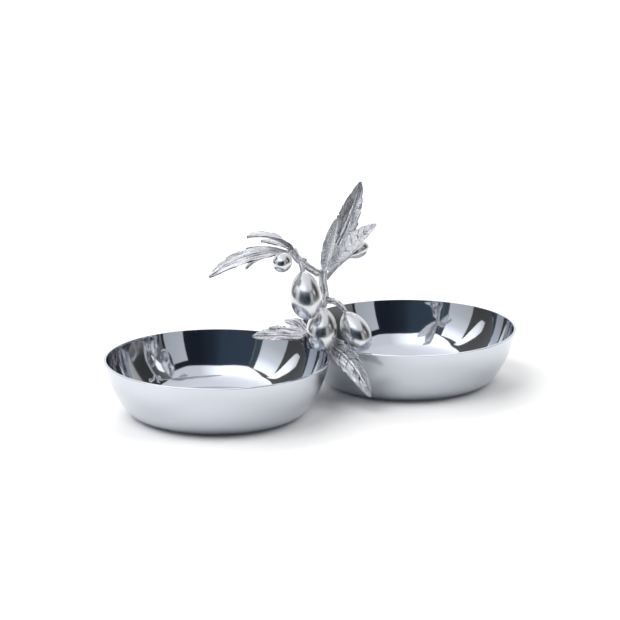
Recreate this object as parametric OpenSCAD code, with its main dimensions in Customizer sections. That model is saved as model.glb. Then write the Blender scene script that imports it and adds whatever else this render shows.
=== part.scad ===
// Olive dish: two polished bowls joined at their rims, with a cast olive branch as the handle.
// Lengths are in millimetres and angles in degrees. X runs along the line of the bowls, Z points up,
// and the origin lies on the table, midway between the bowls.

/* [Bowls] */
// Outer diameter of each bowl
bowl_d = 140; // [120:1:180]
// Height of each bowl
bowl_h = 35.5; // [32:0.5:48]
// Thickness of the bowls' sheet
bowl_wall = 1.6; // [1.2:0.1:2.4]
// Diameter of the flat base
base_d = 88; // [70:1:94]
// Radius of the curve from the base into the side
base_curve_r = 18; // [10:0.5:20]
// Radius of the bowl's side
side_curve_r = 76; // [50:1:140]
// Gap between the two rims where they come closest
rim_gap = 0.8; // [0.4:0.1:3]

/* [Saddle] */
// Diameter of the cast saddle that grips both rims
saddle_d = 13; // [11:0.5:20]
// Height of the saddle above the rims
saddle_rise = 6; // [5:0.5:12]
// How far the saddle reaches down beside the rims
saddle_skirt = 2.4; // [1.5:0.1:5]
// Height of the saddle's leaves above the rims
saddle_leaf_h = 2.4; // [2:0.1:3]

/* [Joints] */
// Solder film between pieces that are joined
solder_gap = 0.1; // [0.05:0.05:0.3]
// Diameter of the tenon under the stem
tenon_d = 3; // [2:0.1:4]
// Length of the tenon under the stem
tenon_len = 4; // [2:0.5:5]
// Diameter of the pegs on leaves, twig and stalks
peg_d = 1.4; // [1:0.1:1.8]
// Length of the pegs on leaves, twig and stalks
peg_len = 2.4; // [1.5:0.1:3]
// Length of the peg that goes into an olive
olive_peg_len = 6; // [3:0.5:9]
// Room all round a peg or tenon in its hole
peg_room = 0.05; // [0.02:0.01:0.2]

/* [Stem and twigs] */
// Diameter of the stem at its foot
stem_foot_d = 5.2; // [4.6:0.2:8]
// Diameter of the stem at its top
stem_top_d = 4.6; // [4.2:0.2:7]
// Diameter of the side twig where it leaves the stem
twig_root_d = 4.2; // [3.6:0.2:6]
// Diameter of the side twig at its end
twig_end_d = 5; // [4.6:0.2:6.6]
// Diameter of the olives' stalks
stalk_d = 2.8; // [2.2:0.1:4]
// Diameter of the right olive's thick stalk where it leaves the stem
right_stalk_root_d = 4.2; // [2.8:0.1:5]
// Depth of the grooves in the bark
bark_groove = 0.35; // [0.1:0.05:0.5]

/* [Olives] */
// Length of the upper olive
upper_olive_len = 30.5; // [26:0.5:34]
// Thickness of the upper olive
upper_olive_d = 20; // [16:0.5:22]
// Length of the middle olive
middle_olive_len = 28; // [24:0.5:30]
// Thickness of the middle olive
middle_olive_d = 19.5; // [15:0.5:21]
// Length of the right olive
right_olive_len = 28; // [24:0.5:32]
// Thickness of the right olive
right_olive_d = 18; // [15:0.5:21]
// Length of the small left olive
small_left_olive_len = 15.5; // [12:0.5:18]
// Thickness of the small left olive
small_left_olive_d = 12; // [9:0.5:13]
// Length of the small right olive
small_right_olive_len = 16.5; // [13:0.5:20]
// Thickness of the small right olive
small_right_olive_d = 9.5; // [8:0.5:12]

/* [Leaves] */
// Width of the full leaves
leaf_w = 15.5; // [11:0.5:17]
// Width of the side leaves
side_leaf_w = 9; // [6:0.5:11]
// Thickness of a leaf beside its ribs
leaf_t = 1; // [0.7:0.1:1.4]
// Height of the midrib above the blade
midrib_h = 0.6; // [0.2:0.1:1]
// Height of the side veins above the blade
vein_h = 0.35; // [0.1:0.05:0.6]
// Diameter of the leaf stalks
petiole_d = 2.2; // [1.9:0.1:2.6]
// Length of the tall leaf
tall_leaf_len = 60; // [45:1:75]
// Length of the side leaf of the tall leaf
tall_side_leaf_len = 34; // [24:1:42]
// Length of the right leaf
right_leaf_len = 43; // [34:1:54]
// Length of the upper left leaf
upper_leaf_len = 34; // [26:1:42]
// Length of the side leaf of the upper left leaf
upper_side_leaf_len = 19; // [14:0.5:26]
// Length of the lower left leaf
lower_leaf_len = 55; // [42:1:66]
// Length of the side leaf of the lower left leaf
lower_side_leaf_len = 33; // [24:1:42]
// Length of the leaf that lies over the left bowl
rim_leaf_len = 35; // [28:1:42]
// Length of its side leaf
rim_side_leaf_len = 30; // [20:1:36]
// Height of the front leaf's tip above the table
front_tip_h = 12; // [8:1:18]

/* [Hidden] */
$fn = 96;

// Colours of the finishes
polished = "gainsboro";
polished_olive = "silver";
oxidised = "darkgray";
bark = "slategray";

// Steps along the arcs of a profile, and along and round a swept piece
arc_steps = 10;
stem_rings = 18;
stalk_rings = 8;
bark_sides = 10;
path_nudge = 0.001;
// Stations along a leaf for each of its teeth, and strips across it
tooth_stations = 4;
leaf_strips = 8;
leaf_teeth = 8;
side_leaf_teeth = 5;

// Leaf form: how far each half folds up, depth of the teeth, place and fullness of the belly, and the tip
leaf_fold = 14;
tooth_depth = 0.14;
leaf_belly = 0.95;
leaf_fullness = 0.75;
leaf_tip_w = 1.2;
petiole_share = 0.14;
edge_min_t = 0.25;

// Olive form: place of the belly from the stalk, and pointedness of the stalk end and the far end
olive_belly = 0.56;
olive_taper = 0.62;
olive_blunt = 0.5;
olive_steps = 14;
olive_flat_d = stalk_d + 0.6;

// Bowl profile in the XZ plane, worked out from the rim, the base and the two radii
bowl_x = (bowl_d + rim_gap) / 2;
rim_r = bowl_wall / 2;
rim_mid = [bowl_d / 2 - rim_r, bowl_h - rim_r];
base_mid = [base_d / 2, base_curve_r];
rim_from_base = rim_mid - base_mid;
near_side = side_curve_r - base_curve_r;
far_side = side_curve_r - rim_r;
rim_dist = norm(rim_from_base);
side_turn = acos((near_side ^ 2 + rim_dist ^ 2 - far_side ^ 2) / (2 * near_side * rim_dist));
side_dir = atan2(rim_from_base[1], rim_from_base[0]) + side_turn;
side_mid = base_mid + near_side * [cos(side_dir), sin(side_dir)];
blend_angle = side_dir - 180;
rim_angle = atan2(rim_mid[1] - side_mid[1], rim_mid[0] - side_mid[0]);

// Directions of leaves and stalks: heading in the XY plane, then rise above it
tall_leaf_aim = [9, 49];
tall_side_leaf_aim = [-12, 77];
right_leaf_aim = [-40, 50];
upper_leaf_aim = [168, 47];
upper_side_leaf_aim = [135, 24];
lower_leaf_aim = [170, 8];
lower_side_leaf_aim = [130, 6];
rim_leaf_aim = [126, 4];
rim_side_leaf_aim = [88, 26];
front_leaf_aim = [-82, 2];
upper_olive_aim = [-104, -1];
middle_olive_aim = [-127, 28];
right_olive_aim = [-72, 12];
small_left_olive_aim = [-142, 29];
small_right_olive_aim = [10, 40.8];

// How far leaves and stalks bend down along their length
tall_leaf_droop = -20;
tall_side_leaf_droop = 6;
right_leaf_droop = 10;
upper_leaf_droop = 55;
upper_side_leaf_droop = 24;
lower_leaf_droop = 40;
lower_side_leaf_droop = 53;
rim_leaf_droop = 18;
rim_side_leaf_droop = 41;
front_leaf_droop = 60;
upper_olive_droop = 66;
middle_olive_droop = 92;
right_olive_droop = 66;
small_left_olive_droop = 49;
small_right_olive_droop = 22.8;

// How far each blade is turned about its midrib, at its foot and at its tip
tall_leaf_turn = [50, 40];
tall_side_leaf_turn = [50, 50];
right_leaf_turn = [40, 38];
upper_leaf_turn = [0, -4];
upper_side_leaf_turn = [-8, -6];
lower_leaf_turn = [-21, -15];
lower_side_leaf_turn = [-14, -14];
rim_leaf_turn = [-18, -32];
rim_side_leaf_turn = [-25, -25];
front_leaf_turn = [58, 72];

// Lengths of the olives' stalks
upper_stalk_len = 10.4;
middle_stalk_len = 15.6;
right_stalk_len = 15.3;
small_left_stalk_len = 9.7;
small_right_stalk_len = 22.3;

// Paths of the stem and the side twig, measured from the middle of the rims
rim_top = [0, 0, bowl_h];
stem_foot = rim_top + [0, 0, saddle_rise + solder_gap];
stem_path = [
    stem_foot,
    stem_foot + [0, 0, 4],
    rim_top + [5, 1, 18],
    rim_top + [8.5, 0, 27],
    rim_top + [7.5, 0, 36],
    rim_top + [6.8, 0, 41],
    rim_top + [7.5, 0, 46]
];
twig_bend = rim_top + [-3.5, 0, 49];
fork_share = 0.84;
fork_aim = [180, 42];
twig_seat = side_seat(stem_path, fork_share, stem_d(fork_share), twig_root_d, fork_aim);
twig_root = seat_point(twig_seat);
twig_path = [
    twig_root,
    twig_bend,
    rim_top + [-9.5, -0.5, 54],
    rim_top + [-13.5, -1.5, 57.5],
    rim_top + [-16, -2, 62]
];
stub_share = 0.42;
stub_aim = [0, 60];
stub_len = 3.2;

// Places of the pieces on the stem, as shares of its length, and across its end
stem_end_step = 1.2;
twig_end_step = 1.35;
right_leaf_share = 0.87;
small_right_olive_share = 0.72;
middle_olive_share = 0.53;
right_olive_share = 0.48;
// Places of the pieces on the side twig
lower_leaf_share = 0.92;
lower_side_leaf_share = 0.79;
small_left_olive_share = 0.82;
upper_olive_share = 0.7;

// Unit vector, point on a smooth path, and direction there
function unit(v) = v / norm(v);
function path_point(path, share) =
    let (
        last = len(path) - 2,
        i = min(floor(share * (last + 1)), last),
        u = share * (last + 1) - i,
        b = path[i],
        c = path[i + 1],
        a = i > 0 ? path[i - 1] : 2 * b - c,
        d = i < last ? path[i + 2] : 2 * c - b
    )
    (2 * b + (c - a) * u + (2 * a - 5 * b + 4 * c - d) * u ^ 2 + (3 * b - a - 3 * c + d) * u ^ 3) / 2;
function path_dir(path, share) =
    unit(path_point(path, min(1, share + path_nudge)) - path_point(path, max(0, share - path_nudge)));
function aim_dir(aim) = [cos(aim[1]) * cos(aim[0]), cos(aim[1]) * sin(aim[0]), sin(aim[1])];

// Diameters along the stem and the side twig
function stem_d(share) = stem_foot_d + (stem_top_d - stem_foot_d) * share;
function twig_d(share) = twig_root_d + (twig_end_d - twig_root_d) * share;

// A seat is the point on the carrier's axis, the distance out to the joint, and the aim
function round_seat(point, axis, carrier_d, foot_d, aim) =
    let (lean = abs(axis * aim_dir(aim)))
    [point, (carrier_d + foot_d * lean) / 2 / sqrt(1 - lean ^ 2) + solder_gap, aim];
function side_seat(path, share, carrier_d, foot_d, aim) =
    round_seat(path_point(path, share), path_dir(path, share), carrier_d, foot_d, aim);
function end_seat(path, foot_d, aim, sideways) =
    let (lean = path_dir(path, 1) * aim_dir(aim))
    [path_point(path, 1) + sideways, foot_d / 2 * sqrt(1 - lean ^ 2) / lean + solder_gap, aim];
function saddle_seat(foot_d, aim) =
    let (drop = saddle_d / 2 * tan(aim[1]))
    round_seat(rim_top + [0, 0, saddle_leaf_h - drop], [0, 0, 1], saddle_d, foot_d, aim);
function seat_point(seat) = seat[0] + seat[1] * aim_dir(seat[2]);

// Two leaves share the end of the stem and of the side twig, one behind the other
stem_end_shift = stem_end_step * [0.5, 0.85, 0];
twig_end_shift = [0, twig_end_step, 0];

// Seats of every leaf and stalk
tall_leaf_seat = end_seat(stem_path, petiole_d, tall_leaf_aim, stem_end_shift);
tall_side_leaf_seat = end_seat(stem_path, petiole_d, tall_side_leaf_aim, -stem_end_shift);
right_leaf_seat =
    side_seat(stem_path, right_leaf_share, stem_d(right_leaf_share), petiole_d, right_leaf_aim);
upper_leaf_seat = end_seat(twig_path, petiole_d, upper_leaf_aim, -twig_end_shift);
upper_side_leaf_seat = end_seat(twig_path, petiole_d, upper_side_leaf_aim, twig_end_shift);
lower_leaf_seat =
    side_seat(twig_path, lower_leaf_share, twig_d(lower_leaf_share), petiole_d, lower_leaf_aim);
lower_side_leaf_seat =
    side_seat(twig_path, lower_side_leaf_share, twig_d(lower_side_leaf_share), petiole_d,
        lower_side_leaf_aim);
rim_leaf_seat = saddle_seat(petiole_d, rim_leaf_aim);
rim_side_leaf_seat = saddle_seat(petiole_d, rim_side_leaf_aim);
front_leaf_seat = saddle_seat(petiole_d, front_leaf_aim);
upper_olive_seat =
    side_seat(twig_path, upper_olive_share, twig_d(upper_olive_share), stalk_d, upper_olive_aim);
small_left_olive_seat =
    side_seat(twig_path, small_left_olive_share, twig_d(small_left_olive_share), stalk_d,
        small_left_olive_aim);
middle_olive_seat =
    side_seat(stem_path, middle_olive_share, stem_d(middle_olive_share), stalk_d, middle_olive_aim);
right_olive_seat =
    side_seat(stem_path, right_olive_share, stem_d(right_olive_share), right_stalk_root_d, right_olive_aim);
small_right_olive_seat =
    side_seat(stem_path, small_right_olive_share, stem_d(small_right_olive_share), stalk_d,
        small_right_olive_aim);

// Length that brings the front leaf's tip down to its height above the table
front_leaf_len =
    (front_tip_h - seat_point(front_leaf_seat)[2]) * front_leaf_droop * PI / 180
    / (cos(front_leaf_aim[1] - front_leaf_droop) - cos(front_leaf_aim[1]));

// Points on an arc in the XZ plane that starts along X and bends down
function arc_point(length, droop, share) =
    let (r = length * 180 / (PI * droop), a = droop * share)
    [r * sin(a), 0, -r * (1 - cos(a))];
// Points on a circle, without the first one where an arc goes on from another
function circle_arc(mid, r, from, to, first = 0) = [
    for (i = [first:arc_steps])
        let (a = from + (to - from) * i / arc_steps)
        mid + r * [cos(a), sin(a)]
];

// Cross-section of a bowl's side and rim, thickened by grow on both faces
function side_outline(grow, first = 0) = concat(
    circle_arc(side_mid, side_curve_r + grow, blend_angle, rim_angle, first),
    circle_arc(rim_mid, rim_r + grow, rim_angle, rim_angle + 180, 1),
    circle_arc(side_mid, side_curve_r - bowl_wall - grow, rim_angle, blend_angle, 1)
);

// One spun bowl, with its axis on Z
module bowl() {
    profile = concat(
        [[0, 0]],
        circle_arc(base_mid, base_curve_r, -90, blend_angle),
        side_outline(0, 1),
        circle_arc(base_mid, base_curve_r - bowl_wall, blend_angle, -90, 1),
        [[0, bowl_wall]]
    );
    rotate_extrude() polygon(profile);
}

// The room that a bowl's rim takes up inside the saddle
module rim_groove() {
    rotate_extrude() polygon(side_outline(solder_gap));
}

module left_bowl() {
    color(polished) translate([-bowl_x, 0, 0]) bowl();
}

module right_bowl() {
    color(polished) translate([bowl_x, 0, 0]) bowl();
}

// Turns X to a seat's aim and moves to its joint
module at_seat(seat) {
    translate(seat[0]) rotate([0, -seat[2][1], seat[2][0]]) translate([seat[1], 0, 0]) children();
}

// Turns X along the end of a stalk and moves there
module at_stalk_end(length, droop) {
    translate(arc_point(length, droop, 1)) rotate([0, droop, 0]) children();
}

// A peg along X, from one place to another
module peg(from, to, d) {
    translate([from, 0, 0]) rotate([0, 90, 0]) cylinder(d = d, h = to - from);
}

// The hole for a piece's peg in its carrier
module peg_hole() {
    peg(-peg_len - 2 * peg_room, petiole_d, peg_d + 2 * peg_room);
}

// A grooved bark tube through points, square to dirs, with ref across its bend
module bark_tube(points, dirs, diameters, ref) {
    rings = len(points);
    vertices = [
        for (i = [0:rings - 1], j = [0:bark_sides - 1])
            let (
                side = unit(cross(ref, dirs[i])),
                up = cross(dirs[i], side),
                r = diameters[i] / 2 - (j % 2) * bark_groove,
                a = 360 * j / bark_sides
            )
            points[i] + r * (cos(a) * side + sin(a) * up)
    ];
    walls = [
        for (i = [0:rings - 2], j = [0:bark_sides - 1])
            let (
                a = i * bark_sides + j,
                b = i * bark_sides + (j + 1) % bark_sides,
                c = b + bark_sides,
                d = a + bark_sides
            )
            each [[a, d, c], [a, c, b]]
    ];
    foot = [for (j = [0:bark_sides - 1]) j];
    top = [for (j = [1:bark_sides]) rings * bark_sides - j];
    polyhedron(vertices, concat(walls, [foot, top]));
}

// The tapered bark of a stem or twig along its path
module path_bark(path, foot_d, top_d) {
    shares = [for (i = [0:stem_rings - 1]) i / (stem_rings - 1)];
    bark_tube(
        [for (s = shares) path_point(path, s)],
        [for (s = shares) path_dir(path, s)],
        [for (s = shares) foot_d + (top_d - foot_d) * s],
        [0, 1, 0]
    );
}

module rim_saddle() {
    foot_r = stem_foot_d / 2 + solder_gap;
    wall_top = saddle_leaf_h + petiole_d / 2 + solder_gap;
    dome = [
        for (a = [0:15:90])
            [foot_r + (saddle_d / 2 - foot_r) * cos(a), wall_top + (saddle_rise - wall_top) * sin(a)]
    ];
    color(bark) difference() {
        translate([0, 0, bowl_h]) rotate_extrude() polygon(concat(
            [[0, -saddle_skirt], [saddle_d / 2, -saddle_skirt]],
            dome,
            [[0, saddle_rise]]
        ));
        for (x = [-bowl_x, bowl_x]) translate([x, 0, 0]) rim_groove();
        translate(rim_top + [0, 0, saddle_rise - tenon_len - 2 * peg_room])
            cylinder(d = tenon_d + 2 * peg_room, h = tenon_len + 1);
        for (seat = [rim_leaf_seat, rim_side_leaf_seat, front_leaf_seat]) at_seat(seat) peg_hole();
    }
}

module main_stem() {
    carried = [
        twig_seat, tall_leaf_seat, tall_side_leaf_seat, right_leaf_seat,
        middle_olive_seat, right_olive_seat, small_right_olive_seat
    ];
    color(bark) difference() {
        union() {
            path_bark(stem_path, stem_foot_d, stem_top_d);
            translate(stem_foot - [0, 0, tenon_len]) cylinder(d = tenon_d, h = tenon_len + 1);
        }
        for (seat = carried) at_seat(seat) peg_hole();
    }
}

module left_twig() {
    carried = [
        upper_leaf_seat, upper_side_leaf_seat, lower_leaf_seat, lower_side_leaf_seat,
        upper_olive_seat, small_left_olive_seat
    ];
    color(bark) difference() {
        union() {
            path_bark(twig_path, twig_root_d, twig_end_d);
            at_seat(twig_seat) peg(-peg_len, peg_len, peg_d);
            translate(path_point(twig_path, stub_share)) rotate([0, 90 - stub_aim[1], stub_aim[0]])
                cylinder(d1 = twig_d(stub_share), d2 = stalk_d, h = stub_len);
        }
        for (seat = carried) at_seat(seat) peg_hole();
    }
}

// A curved stalk with a peg at each end
module stalk(seat, length, droop, root_d = stalk_d) {
    shares = [for (i = [0:stalk_rings - 1]) i / (stalk_rings - 1)];
    color(bark) at_seat(seat) {
        bark_tube(
            [for (s = shares) arc_point(length, droop, s)],
            [for (s = shares) [cos(droop * s), 0, -sin(droop * s)]],
            [for (s = shares) root_d + (stalk_d - root_d) * s],
            [0, 1, 0]
        );
        peg(-peg_len, peg_d, peg_d);
        at_stalk_end(length, droop) peg(-peg_d, olive_peg_len, peg_d);
    }
}

// Radius of an olive at a share of its length from the stalk end
function olive_r(share, d) = share < olive_belly
    ? d / 2 * (1 - ((olive_belly - share) / olive_belly) ^ 2) ^ olive_taper
    : d / 2 * (1 - ((share - olive_belly) / (1 - olive_belly)) ^ 2) ^ olive_blunt;

// An olive on the end of its stalk, drilled for the stalk's peg
module olive(seat, stalk_len, droop, length, d) {
    outline = [
        for (i = [0:olive_steps])
            let (share = (1 - cos(180 * i / olive_steps)) / 2)
            [share < olive_belly ? max(olive_r(share, d), olive_flat_d / 2) : olive_r(share, d), share * length]
    ];
    color(polished_olive) at_seat(seat) at_stalk_end(stalk_len, droop) translate([solder_gap, 0, 0])
        difference() {
            rotate([0, 90, 0]) rotate_extrude() polygon(concat([[0, 0]], outline));
            peg(-1, olive_peg_len + 2 * peg_room, peg_d + 2 * peg_room);
        }
}

module upper_olive() {
    olive(upper_olive_seat, upper_stalk_len, upper_olive_droop, upper_olive_len, upper_olive_d);
}

module upper_olive_stalk() {
    stalk(upper_olive_seat, upper_stalk_len, upper_olive_droop);
}

module middle_olive() {
    olive(middle_olive_seat, middle_stalk_len, middle_olive_droop, middle_olive_len, middle_olive_d);
}

module middle_olive_stalk() {
    stalk(middle_olive_seat, middle_stalk_len, middle_olive_droop);
}

module right_olive() {
    olive(right_olive_seat, right_stalk_len, right_olive_droop, right_olive_len, right_olive_d);
}

module right_olive_stalk() {
    stalk(right_olive_seat, right_stalk_len, right_olive_droop, right_stalk_root_d);
}

module small_left_olive() {
    olive(small_left_olive_seat, small_left_stalk_len, small_left_olive_droop, small_left_olive_len,
        small_left_olive_d);
}

module small_left_olive_stalk() {
    stalk(small_left_olive_seat, small_left_stalk_len, small_left_olive_droop);
}

module small_right_olive() {
    olive(small_right_olive_seat, small_right_stalk_len, small_right_olive_droop,
        small_right_olive_len, small_right_olive_d);
}

module small_right_olive_stalk() {
    stalk(small_right_olive_seat, small_right_stalk_len, small_right_olive_droop);
}

// Half width of a blade at a station, with its forward teeth
function blade_half(station, stations, width) =
    let (
        share = station / stations,
        tooth = ((station + 1) % tooth_stations) / (tooth_stations - 1) - 1
    )
    petiole_d / 2 * (1 - share) + leaf_tip_w / 2 * share
    + (width - petiole_d) / 2 * sin(180 * share ^ leaf_belly) ^ leaf_fullness * (1 + tooth_depth * tooth);

// Relief of the midrib and the side veins, each of which runs out to a tooth
function blade_relief(station, across) =
    midrib_h * max(0, 1 - 4 * abs(across))
    + vein_h * max(0, cos(360 * (station / tooth_stations - abs(across) / 2))) ^ 2 * (1 - abs(across));

// A point on a leaf: face is 1 on top and -1 underneath
function leaf_point(station, stations, across, face, length, width, droop, turn) =
    let (
        share = station / stations,
        flat = min(1, share / petiole_share),
        half = blade_half(station, stations, width),
        y0 = half * ((1 - flat) * sin(90 * across) + flat * across),
        round_t = petiole_d / 2 * cos(90 * across),
        blade_t = leaf_t / 2 * (1 - abs(across) / 2),
        thick = max(edge_min_t, (1 - flat) * round_t + flat * blade_t),
        relief = face > 0 ? flat * blade_relief(station, across) : 0,
        z0 = flat * half * abs(across) * tan(leaf_fold) + face * thick + relief,
        twist = turn[0] + (turn[1] - turn[0]) * share,
        y = y0 * cos(twist) - z0 * sin(twist),
        z = y0 * sin(twist) + z0 * cos(twist),
        a = droop * share
    )
    arc_point(length, droop, share) + [z * sin(a), y, z * cos(a)];

// A cast leaf with a peg under its foot
module leaf(seat, length, width, teeth, droop, turn) {
    stations = teeth * tooth_stations;
    row = leaf_strips + 1;
    under = (stations + 1) * row;
    vertices = [
        for (face = [1, -1], i = [0:stations], j = [0:leaf_strips])
            leaf_point(i, stations, 2 * j / leaf_strips - 1, face, length, width, droop, turn)
    ];
    blades = [
        for (i = [0:stations - 1], j = [0:leaf_strips - 1])
            let (a = i * row + j, b = a + row, c = b + 1, d = a + 1)
            each [[a, d, c], [a, c, b], [under + a, under + c, under + d], [under + a, under + b, under + c]]
    ];
    edges = [
        for (i = [0:stations - 1])
            let (a = i * row, b = a + row, c = a + leaf_strips, d = c + row)
            each [
                [a, b, under + b], [a, under + b, under + a],
                [c, under + d, d], [c, under + c, under + d]
            ]
    ];
    ends = [
        for (j = [0:leaf_strips - 1])
            let (a = j, b = j + 1, c = stations * row + j, d = c + 1)
            each [
                [b, a, under + a], [b, under + a, under + b],
                [c, d, under + d], [c, under + d, under + c]
            ]
    ];
    color(oxidised) at_seat(seat) {
        polyhedron(vertices, concat(blades, edges, ends));
        peg(-peg_len, peg_d, peg_d);
    }
}

module tall_leaf() {
    leaf(tall_leaf_seat, tall_leaf_len, leaf_w, leaf_teeth, tall_leaf_droop, tall_leaf_turn);
}

module tall_side_leaf() {
    leaf(tall_side_leaf_seat, tall_side_leaf_len, side_leaf_w, side_leaf_teeth, tall_side_leaf_droop,
        tall_side_leaf_turn);
}

module right_leaf() {
    leaf(right_leaf_seat, right_leaf_len, leaf_w, leaf_teeth, right_leaf_droop, right_leaf_turn);
}

module upper_left_leaf() {
    leaf(upper_leaf_seat, upper_leaf_len, leaf_w, leaf_teeth, upper_leaf_droop, upper_leaf_turn);
}

module upper_left_side_leaf() {
    leaf(upper_side_leaf_seat, upper_side_leaf_len, side_leaf_w, side_leaf_teeth,
        upper_side_leaf_droop, upper_side_leaf_turn);
}

module lower_left_leaf() {
    leaf(lower_leaf_seat, lower_leaf_len, leaf_w, leaf_teeth, lower_leaf_droop, lower_leaf_turn);
}

module lower_left_side_leaf() {
    leaf(lower_side_leaf_seat, lower_side_leaf_len, side_leaf_w, side_leaf_teeth,
        lower_side_leaf_droop, lower_side_leaf_turn);
}

module rim_leaf() {
    leaf(rim_leaf_seat, rim_leaf_len, leaf_w, leaf_teeth, rim_leaf_droop, rim_leaf_turn);
}

module rim_side_leaf() {
    leaf(rim_side_leaf_seat, rim_side_leaf_len, side_leaf_w, side_leaf_teeth, rim_side_leaf_droop,
        rim_side_leaf_turn);
}

module front_leaf() {
    leaf(front_leaf_seat, front_leaf_len, leaf_w, leaf_teeth, front_leaf_droop, front_leaf_turn);
}

left_bowl();
right_bowl();
rim_saddle();
main_stem();
left_twig();
upper_olive();
upper_olive_stalk();
middle_olive();
middle_olive_stalk();
right_olive();
right_olive_stalk();
small_left_olive();
small_left_olive_stalk();
small_right_olive();
small_right_olive_stalk();
tall_leaf();
tall_side_leaf();
right_leaf();
upper_left_leaf();
upper_left_side_leaf();
lower_left_leaf();
lower_left_side_leaf();
rim_leaf();
rim_side_leaf();
front_leaf();
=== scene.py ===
from math import acos, atan2, cos, pi, radians, sin, sqrt, tan

import bmesh
import bpy
from bpy.props import FloatProperty, FloatVectorProperty, IntProperty, PointerProperty
from mathutils import Matrix, Vector


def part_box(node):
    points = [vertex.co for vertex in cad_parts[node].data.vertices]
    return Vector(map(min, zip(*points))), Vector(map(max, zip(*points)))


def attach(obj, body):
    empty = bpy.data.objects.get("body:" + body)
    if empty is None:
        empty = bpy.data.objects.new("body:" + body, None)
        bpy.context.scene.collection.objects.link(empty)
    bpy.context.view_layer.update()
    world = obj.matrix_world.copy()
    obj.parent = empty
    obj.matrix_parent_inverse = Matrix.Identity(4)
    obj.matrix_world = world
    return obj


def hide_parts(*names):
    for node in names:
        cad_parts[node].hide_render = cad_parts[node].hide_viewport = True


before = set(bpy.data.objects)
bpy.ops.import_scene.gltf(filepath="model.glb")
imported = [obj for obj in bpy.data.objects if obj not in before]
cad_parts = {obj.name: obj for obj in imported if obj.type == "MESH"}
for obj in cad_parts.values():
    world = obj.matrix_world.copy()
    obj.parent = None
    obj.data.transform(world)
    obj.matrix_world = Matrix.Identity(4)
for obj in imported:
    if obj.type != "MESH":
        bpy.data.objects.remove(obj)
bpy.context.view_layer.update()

bl_info = {
    "name": "Olive dish",
    "version": (1, 0, 0),
    "blender": (4, 5, 0),
    "location": "3D View > Sidebar > Olive dish",
    "description": "Twin polished bowls with a cast olive branch between them",
    "category": "Object",
}

MM = 0.001
LEFT_LOW, LEFT_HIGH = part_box("left_bowl")
RIGHT_LOW, RIGHT_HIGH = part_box("right_bowl")


def length(name, description, default):
    """A size in metres, from a default in millimetres."""
    return FloatProperty(name=name, description=description, default=default * MM, min=0, precision=5,
                         unit="LENGTH", subtype="DISTANCE")


def pair(name, description, defaults):
    """Two sizes in metres, from defaults in millimetres."""
    return FloatVectorProperty(name=name, description=description, default=[d * MM for d in defaults],
                               size=2, min=0, precision=5, unit="LENGTH")


def share(name, description, default):
    """A plain number from 0 to 1."""
    return FloatProperty(name=name, description=description, default=default, min=0, max=1,
                         subtype="FACTOR")


def rotation(name, description, degrees):
    """An angle, from a default in degrees."""
    return FloatProperty(name=name, description=description, default=radians(degrees), subtype="ANGLE",
                         unit="ROTATION")


def tint(name, description, default):
    """A colour in linear light."""
    return FloatVectorProperty(name=name, description=description, default=default, size=3, min=0, max=1,
                               subtype="COLOR")


class BowlSizes(bpy.types.PropertyGroup):
    """Sizes of the two spun bowls."""

    diameter: length("Diameter", "Outer diameter of each bowl", (LEFT_HIGH.x - LEFT_LOW.x) / MM)
    height: length("Height", "Height of each bowl", (LEFT_HIGH.z - LEFT_LOW.z) / MM)
    wall: length("Wall", "Thickness of the bowls' sheet", 1.6)
    base_diameter: length("Base diameter", "Diameter of the flat base", 88)
    base_radius: length("Base curve", "Radius of the curve from the base into the side", 18)
    side_radius: length("Side curve", "Radius of the bowl's side", 76)
    rim_edge: length("Rim edge", "Radius of the two edges of the ground rim", 0.28)
    segments: IntProperty(name="Segments", description="Faces round a bowl", default=288, min=48)


class BranchSizes(bpy.types.PropertyGroup):
    """Sizes of the saddle, the stem, the twig and the stalks."""

    saddle_diameter: length("Saddle diameter", "Diameter of the saddle over both rims", 13)
    saddle_rise: length("Saddle rise", "Height of the saddle above the rims", 6)
    saddle_skirt: length("Saddle skirt", "Reach of the saddle below the rims' top", 2.4)
    saddle_leaf: length("Saddle leaf height", "Height of the saddle's leaves above the rims", 2.4)
    solder: length("Solder film", "Film between pieces that are joined", 0.1)
    stem: pair("Stem", "Diameters of the stem at its foot and its top", (5.2, 4.6))
    twig: pair("Twig", "Diameters of the side twig where it leaves the stem and at its end", (4.2, 5))
    stalk: length("Stalk", "Diameter of the olives' stalks", 2.8)
    right_stalk_root: length("Right stalk root", "Diameter of the right olive's stalk at the stem", 4.2)
    groove: length("Bark groove", "Depth of the grooves in the bark", 0.55)
    gnarl: length("Bark gnarl", "Height of the lumps in the bark", 0.45)


class OliveSizes(bpy.types.PropertyGroup):
    """Sizes of the five olives and the form they share."""

    upper: pair("Upper olive", "Length and thickness of the upper olive", (30.5, 20))
    middle: pair("Middle olive", "Length and thickness of the middle olive", (28, 19.5))
    right: pair("Right olive", "Length and thickness of the right olive", (28, 18))
    small_left: pair("Small left olive", "Length and thickness of the small left olive", (15.5, 12))
    small_right: pair("Small right olive", "Length and thickness of the small right olive", (16.5, 9.5))
    belly: share("Belly", "Place of the thickest part, from the stalk", 0.56)
    taper: share("Taper", "Pointedness of the stalk end", 0.62)
    blunt: share("Blunt end", "Pointedness of the far end", 0.5)
    wobble: share("Hand finish", "Unevenness of the hand-polished skin", 0.012)


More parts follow.
